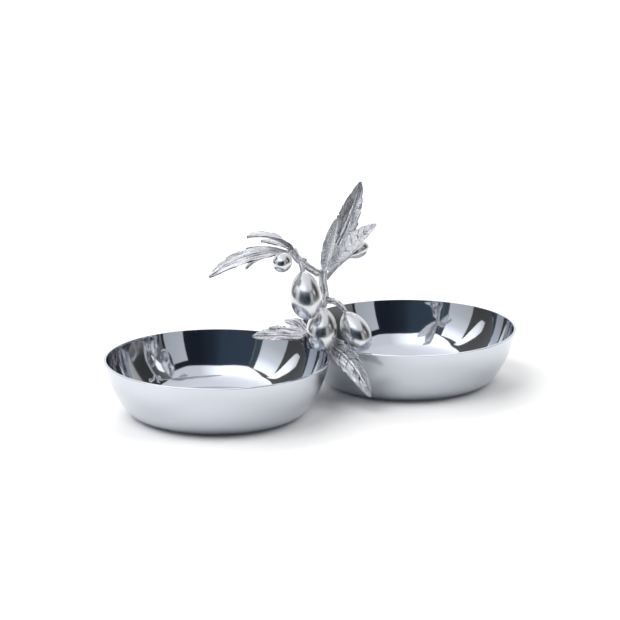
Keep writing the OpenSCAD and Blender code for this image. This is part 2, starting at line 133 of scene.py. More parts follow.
class LeafSizes(bpy.types.PropertyGroup):
    """Sizes of the ten leaves and the form they share."""

    width: length("Width", "Width of the full leaves", 15.5)
    side_width: length("Side width", "Width of the side leaves", 9)
    thickness: length("Thickness", "Thickness of a leaf beside its ribs", 1)
    midrib: length("Midrib", "Height of the midrib above the blade", 0.6)
    vein: length("Vein", "Depth of the side veins", 0.35)
    petiole: length("Leaf stalk", "Diameter of the leaf stalks", 2.2)
    tip: length("Tip", "Width of a leaf's tip", 1.2)
    grain: length("Grain", "Height of the cast grain", 0.22)
    fold: rotation("Fold", "How far each half folds up", 14)
    tooth: share("Tooth depth", "Depth of the teeth as a share of the half width", 0.14)
    tall: length("Tall", "Length of the tall leaf", 60)
    tall_side: length("Tall side", "Length of the leaf beside the tall leaf", 34)
    right: length("Right", "Length of the right leaf", 43)
    upper: length("Upper left", "Length of the upper left leaf", 34)
    upper_side: length("Upper left side", "Length of the leaf beside the upper left leaf", 19)
    lower: length("Lower left", "Length of the lower left leaf", 55)
    lower_side: length("Lower left side", "Length of the leaf beside the lower left leaf", 33)
    rim: length("Rim", "Length of the leaf over the left bowl", 35)
    rim_side: length("Rim side", "Length of the leaf beside the rim leaf", 30)
    front_tip: length("Front tip", "Height of the front leaf's tip above the table", 12)


class MetalColours(bpy.types.PropertyGroup):
    """Colours and gloss of the metals."""

    steel: tint("Steel", "Colour of the polished bowls", (0.62, 0.645, 0.695))
    olive: tint("Olive", "Colour of the polished olives", (0.68, 0.685, 0.7))
    # Bright casting and oxide are also the colours that the leaves' painted light and painted edge shade
    # and the saddle's painted shade reach
    bright: tint("Bright casting", "Colour of the rubbed high places of the castings", (0.9, 0.905, 0.93))
    oxide: tint("Oxide", "Colour of the darkened hollows of the castings", (0.16, 0.16, 0.18))
    steel_roughness: share("Steel roughness", "Roughness of the polished bowls inside", 0.05)
    outside_roughness: share("Outside roughness", "Roughness of the bowls' satin outside", 0.2)
    olive_roughness: share("Olive roughness", "Roughness of the polished olives", 0.22)


class StudioSettings(bpy.types.PropertyGroup):
    """Camera and light."""

    azimuth: rotation("Azimuth", "Turn of the camera round the dish", -31.853)
    elevation: rotation("Elevation", "Height of the camera as an angle", 14.823)
    distance: length("Distance", "Distance of the camera from its target", 2251)
    target: FloatVectorProperty(name="Target", description="Point in the middle of the picture",
                                default=(0.006614, 0.014521, 0.052328), subtype="XYZ", unit="LENGTH")
    lens: FloatProperty(name="Lens", description="Focal length in millimetres", default=206.5)
    sky_light: FloatProperty(name="Sky light", description="Strength of the even light on the table",
                             default=0.27)
    lamp_distance: length("Lamp distance", "Distance of the lamps from the dish", 3200)
    lamp_size: length("Lamp size", "Width of the lamps", 2000)


# Places and poses of the branch's pieces, in millimetres and degrees as in the part's source
STEM_STEPS = ((5, 1, 18), (8.5, 0, 27), (7.5, 0, 36), (6.8, 0, 41), (7.5, 0, 46))
STEM_RISE = 4
TWIG_STEPS = ((-3.5, 0, 49), (-9.5, -0.5, 54), (-13.5, -1.5, 57.5), (-16, -2, 62))
FORK_SHARE, FORK_AIM = 0.84, (180, 42)
STUB_SHARE, STUB_AIM, STUB_LENGTH = 0.42, (0, 60), 3.2
STEM_END_SHIFT = Vector((0.5, 0.85, 0)) * 1.2 * MM
TWIG_END_SHIFT = Vector((0, 1.35, 0)) * MM
# How far the pieces reach back through the solder film, and the room of an olive's neck round its stalk
STEM_SINK, TWIG_SINK, STALK_SINK, LEAF_SINK = 0.4 * MM, 0.6 * MM, 0.5 * MM, 0.4 * MM
NECK_ROOM = 0.3 * MM

# Name, carrier, share along it, aim, droop, stalk length, name of the stalk's foot diameter
OLIVES = (
    ("upper", "twig", 0.7, (-104, -1), 66, 10.4, "stalk"),
    ("middle", "stem", 0.53, (-127, 28), 92, 15.6, "stalk"),
    ("right", "stem", 0.48, (-72, 12), 66, 15.3, "right_stalk_root"),
    ("small_left", "twig", 0.82, (-142, 29), 49, 9.7, "stalk"),
    ("small_right", "stem", 0.72, (10, 40.8), 22.8, 22.3, "stalk"),
)
# Node, name of its length, carrier, share along it or side of its end, aim, droop, turn at foot and tip,
# how strong its side veins are, how much brighter its colour is painted as painted light for the light it
# catches (painted shade where negative), and how much painted shade darkens its edge (a painted highlight
# along the edge where negative)
LEAVES = (
    ("tall_leaf", "tall", "stem end", 1, (9, 49), -20, (50, 40), 0.2, -0.01, 1),
    ("tall_side_leaf", "tall_side", "stem end", -1, (-12, 77), 6, (50, 50), 0.3, 0.32, 1),
    ("right_leaf", "right", "stem", 0.87, (-40, 50), 10, (40, 38), 1.4, 0.44, 0.6),
    ("upper_left_leaf", "upper", "twig end", -1, (168, 47), 55, (0, -4), 0.2, 0.15, 1),
    ("upper_left_side_leaf", "upper_side", "twig end", 1, (135, 24), 24, (-8, -6), 0.2, 0.15, 1),
    ("lower_left_leaf", "lower", "twig", 0.92, (170, 8), 40, (-21, -15), 0.3, 0.11, 1),
    ("lower_left_side_leaf", "lower_side", "twig", 0.79, (130, 6), 53, (-14, -14), 0.2, 0.11, 1),
    ("rim_leaf", "rim", "saddle", 0, (126, 4), 18, (-18, -32), 0.3, -0.06, -0.3),
    ("rim_side_leaf", "rim_side", "saddle", 0, (88, 26), 41, (-25, -25), 0.3, -0.06, 0),
    ("front_leaf", "front", "saddle", 0, (-82, 2), 60, (58, 72), 0.75, 0.22, -0.9),
)
# Teeth on each side, stations along and strips across a full leaf and a side leaf
LEAF_PARTS, SIDE_LEAF_PARTS = (8, 220, 44), (5, 140, 32)


def joined(kind, swapped=False):
    """An operator that joins two values by a Math node."""
    if swapped:
        return lambda wire, other: wire.net.math(kind, other, wire)
    return lambda wire, other: wire.net.math(kind, wire, other)


class Wire:
    """A value in a node tree, which combines with others by ordinary operators."""

    __add__, __radd__ = joined("ADD"), joined("ADD", swapped=True)
    __sub__, __rsub__ = joined("SUBTRACT"), joined("SUBTRACT", swapped=True)
    __mul__, __rmul__ = joined("MULTIPLY"), joined("MULTIPLY", swapped=True)
    __truediv__, __pow__ = joined("DIVIDE"), joined("POWER")
    __lt__, __gt__ = joined("LESS_THAN"), joined("GREATER_THAN")

    def __init__(self, net, socket):
        self.net, self.socket = net, socket

    def __neg__(self):
        return self.net.math("MULTIPLY", self, -1)

    def __abs__(self):
        return self.net.math("ABSOLUTE", self)


class Net:
    """A node tree under construction."""

    def __init__(self, tree):
        self.tree = tree

    def add(self, kind, links=(), out=0, **settings):
        """Adds a node, sets it up, and gives one of its outputs."""
        node = self.tree.nodes.new(kind)
        for key, value in settings.items():
            setattr(node, key, value)
        for key, value in dict(links).items():
            if isinstance(value, Wire):
                self.tree.links.new(value.socket, node.inputs[key])
            else:
                node.inputs[key].default_value = value
        return Wire(self, node.outputs[out]) if node.outputs else None

    def math(self, operation, *values):
        return self.add("ShaderNodeMath", enumerate(values), operation=operation)

    def sin(self, angle):
        return self.math("SINE", angle)

    def cos(self, angle):
        return self.math("COSINE", angle)

    def most(self, a, b):
        return self.math("MAXIMUM", a, b)

    def least(self, a, b):
        return self.math("MINIMUM", a, b)

    def pick(self, test, yes, no):
        """One value where the test is 1 and another where it is 0."""
        return no + (yes - no) * test

    def vector(self, x, y, z):
        return self.add("ShaderNodeCombineXYZ", {0: x, 1: y, 2: z})

    def parts(self, vector):
        node = self.tree.nodes.new("ShaderNodeSeparateXYZ")
        self.tree.links.new(vector.socket, node.inputs[0])
        return [Wire(self, s) for s in node.outputs]

    def vector_math(self, operation, *values):
        return self.add("ShaderNodeVectorMath", enumerate(values), operation=operation)

    def noise(self, vector, scale, detail=2.0, seed=0.0, roughness=0.5):
        """Noise from 0 to 1, with a fixed seed as its fourth coordinate."""
        settings = {"Vector": vector, "W": seed, "Scale": scale, "Detail": detail, "Roughness": roughness}
        return self.add("ShaderNodeTexNoise", settings, noise_dimensions="4D")


# Points nearer than this are joined, and a turned piece is smooth this near its axis
SEAM, AXIS = 0.001 * MM, 0.5 * MM


class Rule(Net):
    """A Geometry Nodes tree with named inputs, which makes one kind of piece."""

    def __init__(self, name, inputs):
        """Takes each input's default, or its kind where it has none."""
        super().__init__(bpy.data.node_groups.new(name, "GeometryNodeTree"))
        sockets, kinds = self.tree.interface, {float: "Float", int: "Int"}
        for label, default in {"Geometry": "Geometry", **inputs, "Material": "Material"}.items():
            kind = kinds.get(type(default), default)
            socket = sockets.new_socket(label, in_out="INPUT", socket_type="NodeSocket" + kind)
            if kind != default:
                socket.default_value = default
        sockets.new_socket("Geometry", in_out="OUTPUT", socket_type="NodeSocketGeometry")
        self.entry = self.tree.nodes.new("NodeGroupInput")

    def __getitem__(self, label):
        return Wire(self, self.entry.outputs[label])

    def chance(self, low, high, number, seed):
        """A random value for each number."""
        return self.add("FunctionNodeRandomValue", {"Min": low, "Max": high, "ID": number, "Seed": seed},
                        out=1)

    def sheet(self, rows, columns):
        """A grid, with the numbers of its rows and columns."""
        grid = self.add("GeometryNodeMeshGrid",
                        {"Size X": 1, "Size Y": 1, "Vertices X": rows, "Vertices Y": columns})
        x, y, _ = self.parts(self.add("GeometryNodeInputPosition"))
        return (grid, self.math("ROUND", (x + 0.5) * (rows - 1)),
                self.math("ROUND", (y + 0.5) * (columns - 1)))

    def keep(self, geometry, label, value, kind="FLOAT"):
        """Stores a value on the points for the material."""
        return self.add("GeometryNodeStoreNamedAttribute",
                        {"Geometry": geometry, "Name": label, "Value": value}, data_type=kind)

    def capture(self, geometry, value, kind="FLOAT"):
        """Holds a value of this stage for later ones, and gives the geometry and the value."""
        node = self.tree.nodes.new("GeometryNodeCaptureAttribute")
        node.capture_items.new(kind, "Held")
        self.tree.links.new(geometry.socket, node.inputs[0])
        self.tree.links.new(value.socket, node.inputs[1])
        return Wire(self, node.outputs[0]), Wire(self, node.outputs[1])

    def finish(self, geometry, **move):
        """Moves the points, joins the seams and poles, gives the material and ends the tree."""
        for kind, settings in (("SetPosition", move), ("MergeByDistance", {"Distance": SEAM}),
                               ("SetShadeSmooth", {}), ("RealizeInstances", {}),
                               ("SetMaterial", {"Material": self["Material"]})):
            geometry = self.add("GeometryNode" + kind, {"Geometry": geometry, **settings})
        leave = self.tree.nodes.new("NodeGroupOutput")
        self.tree.links.new(geometry.socket, leave.inputs[0])
        return self.tree


# Noises of the cast pieces, in features per metre
SADDLE_LUMPS, BARK_LUMPS, BARK_GRAIN, OLIVE_LUMPS = 420, 330, 1100, 60
NICKS, DRIFT, GRAIN, STROKES, CREASES, RIPPLES = 650, 90, 900, 950, 420, 120
# Place of a tooth's crest in its step, and end of the leaf stalk along the leaf
CREST, STALK_END = 0.84, 0.14
# Slant and width of the side veins, as shares of a tooth's step
VEIN_SLANT, VEIN_WIDTH = 0.8, 0.08
# The midrib, the gutters beside it and the start of the painted edge shade, as shares of the half width
RIB_WIDTH, GUTTER_PLACE, GUTTER_WIDTH, EDGE_PLACE = 0.11, 0.16, 0.06, 0.87
# How fast the painted shade darkens a leaf towards its edge, standing in for the shadow in the crevices
# between the leaves
EDGE_SHADE = 3.5
# Least half thickness of a leaf, and height of the ripples in its edge
THINNEST, RIPPLE_HEIGHT = 0.22 * MM, 2.2 * MM


def turned_rule():
    """A profile turned about Z, with optional ridges for a cast piece."""
    rule = Rule("turned_piece", {
        "Profile": "Object", "Profile Points": 2, "Inside From": 0, "Segments": 96, "Ridges": 0.0,
        "Groove": 0.0, "Gnarl": 0.0, "Seed": 0.0})
    grid, row, column = rule.sheet(rule["Profile Points"], rule["Segments"] + 1)
    profile = rule.add("GeometryNodeObjectInfo", {"Object": rule["Profile"]}, out="Geometry")
    sample = {"Geometry": profile, "Value": rule.add("GeometryNodeInputPosition"), "Index": row}
    r, _, z = rule.parts(rule.add("GeometryNodeSampleIndex", sample, data_type="FLOAT_VECTOR"))
    angle = column / rule["Segments"] * (2 * pi)
    x, y = rule.cos(angle), rule.sin(angle)
    lump = rule.noise(rule.vector(r * x, r * y, z), SADDLE_LUMPS, 3.0, rule["Seed"])
    ridge = abs(rule.sin((angle * rule["Ridges"] + lump * 4) / 2)) ** 0.6
    swell = (lump - 0.5) * 2 * rule["Gnarl"] - (1 - ridge) * rule["Groove"]
    r = r + swell * (r > AXIS)
    grid = rule.keep(grid, "spun", rule.vector(r, z, 0), "FLOAT_VECTOR")
    grid = rule.keep(grid, "tone", ridge * 0.6 + lump * 0.4)
    grid = rule.keep(grid, "inside", row > rule["Inside From"])
    return rule.finish(grid, Position=rule.vector(r * x, r * y, z))


def bark_rule():
    """A ridged, gnarled bark along a path."""
    rule = Rule("bark_along_path", {
        "Path": "Object", "Foot Radius": 0.0025, "Top Radius": 0.0025, "Ridges": 5.0, "Groove": 0.0004,
        "Gnarl": 0.0003, "Twist": 0.5, "Rings": 120, "Sides": 48, "Seed": 0.0})
    path = rule.add("GeometryNodeObjectInfo", {"Object": rule["Path"]}, out="Geometry")
    path = rule.add("GeometryNodeMeshToCurve", {"Mesh": path})
    path = rule.add("GeometryNodeResampleCurve", {"Curve": path, "Count": rule["Rings"]})
    path, along = rule.capture(path, rule.add("GeometryNodeSplineParameter"))
    path, middle = rule.capture(path, rule.add("GeometryNodeInputPosition"), "VECTOR")
    ring = rule.add("GeometryNodeCurvePrimitiveCircle", {"Resolution": rule["Sides"], "Radius": 1})
    ring, turn = rule.capture(ring, rule.add("GeometryNodeSplineParameter"))
    width = rule.pick(rule.add("GeometryNodeSplineParameter"), rule["Top Radius"], rule["Foot Radius"])
    tube = rule.add("GeometryNodeCurveToMesh",
                    {"Curve": path, "Profile Curve": ring, "Scale": width, "Fill Caps": True})
    place = rule.add("GeometryNodeInputPosition")
    outwards = rule.vector_math("NORMALIZE", rule.vector_math("SUBTRACT", place, middle))
    lump = rule.noise(place, BARK_LUMPS, 3.0, rule["Seed"])
    fine = rule.noise(place, BARK_GRAIN, 2.0, rule["Seed"])
    bent = turn * rule["Ridges"] + along * rule["Twist"] + (lump - 0.5) * 0.9
    ridge = abs(rule.sin(bent * pi)) ** 0.55
    swell = ((lump - 0.5) * 2 * rule["Gnarl"] + (fine - 0.5) * 0.6 * rule["Gnarl"]
             + (ridge - 0.65) * rule["Groove"])
    tube = rule.keep(tube, "tone", ridge * 0.5 + fine * 0.5 + (lump - 0.5) * 0.8)
    offset = rule.add("ShaderNodeVectorMath", {0: outwards, "Scale": swell}, operation="SCALE")
    return rule.finish(tube, Offset=offset)


def olive_rule():
    """An olive along X from its stalk end, with a slightly uneven skin."""
    rule = Rule("cast_olive", {
        "Length": 0.03, "Thickness": 0.02, "Belly": 0.56, "Taper": 0.62, "Blunt": 0.5, "Neck": 0.0017,
        "Wobble": 0.01, "Rings": 96, "Segments": 128, "Seed": 0.0})
    rings, belly = rule["Rings"], rule["Belly"]
    grid, row, column = rule.sheet(rings + 2, rule["Segments"] + 1)
    along = (1 - rule.cos(rule.most(row - 1, 0) / rings * pi)) / 2
    stalk_side = along < belly
    reach = rule.pick(stalk_side, (belly - along) / belly, (along - belly) / (1 - belly))
    bulge = rule.most(1 - reach * reach, 0) ** rule.pick(stalk_side, rule["Taper"], rule["Blunt"])
    r = rule["Thickness"] / 2 * bulge
    r = rule.pick(stalk_side, rule.most(r, rule["Neck"]), r) * (row > 0.5)
    angle = column / rule["Segments"] * (2 * pi)
    x, y, z = along * rule["Length"], r * rule.cos(angle), r * rule.sin(angle)
    uneven = rule.noise(rule.vector(x, y, z), OLIVE_LUMPS, 1.0, rule["Seed"]) - 0.5
    fit = 1 + uneven * 2 * rule["Wobble"]
    return rule.finish(grid, Position=rule.vector(x, y * fit, z * fit))


def leaf_rule():
    """A toothed, veined leaf along X that droops and turns about its midrib."""
    rule = Rule("cast_leaf", {
        "Length": 0.05, "Width": 0.015, "Teeth": 8.0, "Droop": 0.3, "Foot Turn": 0.0, "Tip Turn": 0.0,
        "Thickness": 0.001, "Midrib": 0.0006, "Vein": 0.0003, "Vein Share": 1.0, "Rub": 0.0,
        "Dark Edge": 1.0, "Petiole": 0.0022, "Tip": 0.0006, "Fold": 0.24, "Tooth Depth": 0.14,
        "Root": 0.0002, "Grain": 0.0002, "Stations": 192, "Strips": 40, "Seed": 0})
    stations, strips, teeth = rule["Stations"], rule["Strips"], rule["Teeth"]
    petiole, seed = rule["Petiole"], rule["Seed"]
    grid, row, column = rule.sheet(stations + 3, strips * 2 + 3)
    end = (row < 0.5) + (row > stations + 1.5)
    along = rule.most(rule.least((row - 1) / stations, 1), 0)
    x0 = along * rule["Length"]
    column = rule.math("FLOORED_MODULO", column, strips * 2 + 2)
    top = column < strips + 0.5
    across = rule.pick(top, column * 2 / strips - 1, 1 - (column - strips - 1) * 2 / strips)
    out = abs(across)
    side = across > 0

    # Forward teeth of uneven depth, different on the two sides
    station = along * teeth + 0.25
    step = rule.math("FRACT", station)
    tooth = rule.pick(step < CREST, step / CREST - 1, (CREST - step) / (1 - CREST))
    uneven = rule.chance(0.1, 1.8, rule.math("FLOOR", station) * 2 + side, seed)
    nick = rule.noise(rule.vector(x0, side * 0.05, 0), NICKS, 2.0, seed * 5.1) - 0.55
    half = (petiole / 2 * (1 - along) + rule["Tip"] / 2 * along
            + (rule["Width"] - petiole) / 2 * rule.most(rule.sin(along ** 0.95 * pi), 0) ** 0.75
            * (1 + rule["Tooth Depth"] * (uneven * tooth + nick)))

    # From the round leaf stalk to the flat blade
    flat = rule.least(along / STALK_END, 1)
    y0 = half * ((1 - flat) * rule.sin(across * (pi / 2)) + flat * across)
    thick = rule.most((1 - flat) * petiole / 2 * rule.cos(across * (pi / 2))
                      + flat * rule["Thickness"] / 2 * (1 - out / 2), THINNEST)

    # Relief: a midrib between two gutters, sunk side veins, cast grain, lengthwise strokes and creases
    level = top * 0.01
    spot = rule.vector(x0, y0, level)
    drift = rule.noise(spot, DRIFT, 1.0, seed * 4.3) - 0.5
    line = along * teeth - out * VEIN_SLANT + 0.5 + drift * 1.2
    away = rule.math("FRACT", line) - 0.5
    depth = rule.chance(0.3, 1.2, rule.math("FLOOR", line) * 2 + side, seed + 40)
    vein = rule.most(1 - abs(away) / VEIN_WIDTH, 0) * (1 - out ** 3) * flat * depth * rule["Vein Share"]
    rib = rule.most(1 - out / RIB_WIDTH, 0)
    gutter = rule.most(1 - abs(out - GUTTER_PLACE) / GUTTER_WIDTH, 0)
    grain = rule.noise(spot, GRAIN, 3.0, seed * 1.7, 0.6) - 0.5
    stroke = rule.noise(rule.vector(x0 * 0.1, y0 + drift * 0.003, level), STROKES, 2.0, seed * 2.3) - 0.5
    crease = rule.noise(rule.vector(x0 * 0.12, y0 + drift * 0.004, level), CREASES, 1.0, seed * 6.7) - 0.5
    rough = (grain * 1.3 + stroke * 2.4 + crease * 1.8) * rule["Grain"] * (0.35 + flat * 0.65)
    relief = (rule["Midrib"] * rib - rule["Vein"] * (vein + gutter * 0.7)) * flat + rough
    # Painted shade along the leaf's edge, standing in for the shadow in the crevices where leaves lie over
    # each other; a negative Edge Shade paints a highlight along the edge instead
    edge = rule.most(out - EDGE_PLACE, 0) * (EDGE_SHADE * flat) * rule["Dark Edge"]
    # Painted Light shifts the whole leaf's tone: painted light where it is positive, painted shade where it
    # is negative
    tone = (0.62 + rule["Rub"] + rib * 0.25 * flat - (vein * 0.8 + gutter * 0.3) * flat - edge
            + grain * 0.7 + stroke * 1.7 + crease * 0.4)
    ripple = (rule.noise(spot, RIPPLES, 1.0, seed * 3.1) - 0.5) * RIPPLE_HEIGHT * out * flat

    # The fold, the turn about the midrib and the droop
    z0 = (flat * half * out * rule.math("TANGENT", rule["Fold"]) + ripple
          + rule.pick(top, thick + relief, -thick - relief * 0.6))
    y0, z0 = y0 * (1 - end), z0 * (1 - end)
    twist = rule.pick(along, rule["Tip Turn"], rule["Foot Turn"])
    y = y0 * rule.cos(twist) - z0 * rule.sin(twist)
    z = y0 * rule.sin(twist) + z0 * rule.cos(twist)
    bend = rule["Droop"] * along
    radius = rule["Length"] / rule["Droop"]
    back = rule["Root"] * (row < 1.5)
    place = rule.vector(radius * rule.sin(bend) + z * rule.sin(bend) - back, y,
                        z * rule.cos(bend) - radius * (1 - rule.cos(bend)))
    return rule.finish(rule.keep(grid, "tone", tone), Position=place)


def put(name, data):
    """A new object in the scene."""
    thing = bpy.data.objects.new(name, data)
    bpy.context.scene.collection.objects.link(thing)
    return thing


def grow(name, tree, values, place=Matrix()):
    """Runs a rule and returns its result as a plain closed mesh, with its place in the mesh."""
    piece = put(name, bpy.data.meshes.new(name))
    rule = piece.modifiers.new(tree.name, "NODES")
    rule.node_group = tree
    keys = {s.name: s.identifier for s in tree.interface.items_tree if s.in_out == "INPUT"}
    for label, value in values.items():
        rule[keys[label]] = value
    depsgraph = bpy.context.evaluated_depsgraph_get()
    mesh = bpy.data.meshes.new_from_object(piece.evaluated_get(depsgraph))
    piece.modifiers.remove(rule)
    if not mesh.polygons:
        raise RuntimeError(f"{name} came out empty")
    piece.data = mesh
    mesh.name = name
    mesh.transform(place)
    shell = bmesh.new()
    shell.from_mesh(mesh)
    bmesh.ops.recalc_face_normals(shell, faces=shell.faces)
    if any(not e.is_manifold for e in shell.edges):
        raise RuntimeError(f"{name} isn't closed")
    shell.to_mesh(mesh)
    shell.free()
    return piece


def line_object(name, points):
    """A chain of points for a rule to follow, removed after use."""
    mesh = bpy.data.meshes.new(name)
    mesh.from_pydata([tuple(p) for p in points], [(i, i + 1) for i in range(len(points) - 1)], [])
    return put(name, mesh)


def dress(piece, node):
    """Makes a piece stand for its CAD node."""
    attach(piece, "root")
    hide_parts(node)


def rim_top(context):
    """The middle of the two rims, where the branch stands."""
    return Vector((0, 0, context.scene.dish_bowls.height))


def aim_dir(aim):
    """Unit vector from a heading and a rise."""
    heading, rise = radians(aim[0]), radians(aim[1])
    return Vector((cos(rise) * cos(heading), cos(rise) * sin(heading), sin(rise)))


# Share of a path between a point and the near ones that give its direction
NEAR = 0.001


def path_point(path, along):
    """Point on a smooth curve through a path's points."""
    last = len(path) - 2
    i = min(int(along * (last + 1)), last)
    u = along * (last + 1) - i
    b, c = path[i], path[i + 1]
    a = path[i - 1] if i > 0 else 2 * b - c
    d = path[i + 2] if i < last else 2 * c - b
    return b + ((c - a) * u + (2 * a - 5 * b + 4 * c - d) * u ** 2 + (3 * b - a - 3 * c + d) * u ** 3) / 2


def path_dir(path, along):
    """Direction of a path, between two near points on it."""
    before, after = max(0, along - NEAR), min(1, along + NEAR)
    return (path_point(path, after) - path_point(path, before)).normalized()


def seat(point, reach, aim):
    """Turns X to an aim, at a joint that lies out from the carrier's middle."""
    return (Matrix.Translation(point) @ Matrix.Rotation(radians(aim[0]), 4, "Z")
            @ Matrix.Rotation(radians(-aim[1]), 4, "Y") @ Matrix.Translation((reach, 0, 0)))


def round_seat(point, axis, carrier, foot, aim, solder):
    """A joint on the side of a round carrier."""
    lean = abs(axis.dot(aim_dir(aim)))
    return seat(point, (carrier + foot * lean) / 2 / sqrt(1 - lean ** 2) + solder, aim)


def end_seat(path, foot, aim, shift, solder):
    """A joint on the cut end of a path."""
    lean = path_dir(path, 1).dot(aim_dir(aim))
    return seat(path_point(path, 1) + shift, foot / 2 * sqrt(1 - lean ** 2) / lean + solder, aim)


def carriers(context):
    """Paths of the stem and the twig, with their diameters at both ends."""
    branch, top = context.scene.dish_branch, rim_top(context)
    foot = top + Vector((0, 0, branch.saddle_rise + branch.solder))
    stem = [foot, foot + Vector((0, 0, STEM_RISE * MM))] + [top + Vector(s) * MM for s in STEM_STEPS]
    stem_d = branch.stem[0] + (branch.stem[1] - branch.stem[0]) * FORK_SHARE
    root = round_seat(path_point(stem, FORK_SHARE), path_dir(stem, FORK_SHARE), stem_d, branch.twig[0],
                      FORK_AIM, branch.solder).translation
    twig = [root] + [top + Vector(s) * MM for s in TWIG_STEPS]
    return {"stem": (stem, *branch.stem), "twig": (twig, *branch.twig)}


def carried_seat(context, carrier, along, aim, foot):
    """Where a leaf or a stalk meets what carries it."""
    branch = context.scene.dish_branch
    if carrier == "saddle":
        drop = branch.saddle_diameter / 2 * tan(radians(aim[1]))
        middle = rim_top(context) + Vector((0, 0, branch.saddle_leaf - drop))
        return round_seat(middle, Vector((0, 0, 1)), branch.saddle_diameter, foot, aim, branch.solder)
    path, foot_d, top_d = carriers(context)[carrier.split()[0]]
    if carrier.endswith("end"):
        shift = STEM_END_SHIFT if carrier == "stem end" else TWIG_END_SHIFT
        return end_seat(path, foot, aim, shift * along, branch.solder)
    return round_seat(path_point(path, along), path_dir(path, along), foot_d + (top_d - foot_d) * along,
                      foot, aim, branch.solder)


def arc_point(reach, droop, along):
    """Point on an arc that starts along X and bends down."""
    radius, a = reach / droop, droop * along
    return Vector((radius * sin(a), 0, -radius * (1 - cos(a))))


class Finish(Net):
    """A material under construction, around one Principled shader."""

    def __init__(self, name):
        self.material = bpy.data.materials.new(name)
        self.material.use_nodes = True
        super().__init__(self.material.node_tree)
        self.shader = self.tree.nodes["Principled BSDF"]
        self.shader.inputs["Metallic"].default_value = 1.0

    def give(self, label, value):
        """Sets a socket of the shader, by a link only where the value varies."""
        if isinstance(value, Wire):
            self.tree.links.new(value.socket, self.shader.inputs[label])
        else:
            self.shader.inputs[label].default_value = value

    def held(self, label, out="Fac"):
        return self.add("ShaderNodeAttribute", out=out, attribute_name=label)

    def here(self):
        return self.add("ShaderNodeTexCoord", out="Object")

    def ramp(self, value, stops):
        """A colour ramp from places and colours."""
        wire = self.add("ShaderNodeValToRGB", {"Fac": value})
        bar = wire.socket.node.color_ramp
        while len(bar.elements) < len(stops):
            bar.elements.new(0.5)
        for element, (place, colour) in zip(bar.elements, stops):
            element.position, element.color = place, (*colour, 1)
        return wire

    def bump(self, height, distance, strength):
        settings = {"Height": height, "Distance": distance, "Strength": strength}
        self.give("Normal", self.add("ShaderNodeBump", settings, out="Normal"))


# Noises of the finishes, in features per metre
WHEEL_RINGS, STEEL_HAZE, OLIVE_HAZE, SCRATCHES, OXIDE_GRAIN, OXIDE_CLOUDS = 5200, 55, 160, 2600, 1500, 260
# How much darker than the others a finish is painted, as painted shade for a piece that sits in shadow
PAINTED_SHADE = {"oxidised_saddle": 0.42}


def polished_steel(name, colours):
    """Spun steel, mirror-polished inside and satin outside, with faint rings from the polishing wheel."""
    finish = Finish(name)
    rings = finish.noise(finish.held("spun", "Vector"), WHEEL_RINGS, 2.0)
    haze = finish.noise(finish.here(), STEEL_HAZE, 3.0)
    finish.give("Base Color", (*colours.steel, 1))
    rough = finish.pick(finish.held("inside"), colours.steel_roughness, colours.outside_roughness)
    finish.give("Roughness", rough * (0.6 + haze * 0.6 + rings * 0.3))
    finish.bump(rings, 0.004 * MM, 0.12)
    return finish.material


def polished_olive(name, colours):
    """Hand-polished casting with soft unevenness and fine scratches."""
    finish = Finish(name)
    haze = finish.noise(finish.here(), OLIVE_HAZE, 3.0)
    scratch = finish.noise(finish.here(), SCRATCHES, 3.0)
    finish.give("Base Color", (*colours.olive, 1))
    finish.give("Roughness", colours.olive_roughness * 0.5 + haze * colours.olive_roughness)
    finish.bump(haze * 0.8 + scratch * 0.2, 0.06 * MM, 0.18)
    return finish.material


def oxidised_casting(name, colours):
    """Cast metal, darkened in its hollows and rubbed bright on its high places; the leaves' tone adds
    painted light and painted edge shade, and the saddle's finish adds painted shade.
    """
    finish = Finish(name)
    grain = finish.noise(finish.here(), OXIDE_GRAIN, 4.0, roughness=0.65)
    cloud = finish.noise(finish.here(), OXIDE_CLOUDS, 3.0)
    # The tone carries the leaves' painted light and painted edge shade, and the saddle's finish is painted
    # darker here as painted shade
    tone = finish.held("tone") + (grain - 0.5) * 1.1 + (cloud - 0.5) * 0.35 - PAINTED_SHADE.get(name, 0)
    bright, oxide = Vector(colours.bright), Vector(colours.oxide)
    stops = ((0.12, oxide * 0.3), (0.36, oxide * 1.6), (0.56, bright * 0.6), (0.9, bright))
    finish.give("Base Color", finish.ramp(tone, stops))
    finish.give("Roughness", finish.ramp(tone, ((0.1, (0.55,) * 3), (0.8, (0.22,) * 3))))
    finish.bump(grain * 0.8 + cloud * 0.2, 0.5 * MM, 0.8)
    return finish.material


FINISHES = {
    "polished_steel": polished_steel, "polished_olive": polished_olive, "oxidised_leaf": oxidised_casting,
    "oxidised_bark": oxidised_casting, "oxidised_saddle": oxidised_casting,
}


def metal(context, name):
    """One of the object's finishes, each made once."""
    return bpy.data.materials.get(name) or FINISHES[name](name, context.scene.dish_colours)


# Steps of a bowl's section: across the base, round the base curve, up the side and round an edge of the rim
BASE_STEPS, CURVE_STEPS, SIDE_STEPS, EDGE_STEPS = 20, 24, 40, 8
# Number of the section's last point on the outside, counted from 0 in the middle of the base
LAST_OUTSIDE = BASE_STEPS + CURVE_STEPS + SIDE_STEPS


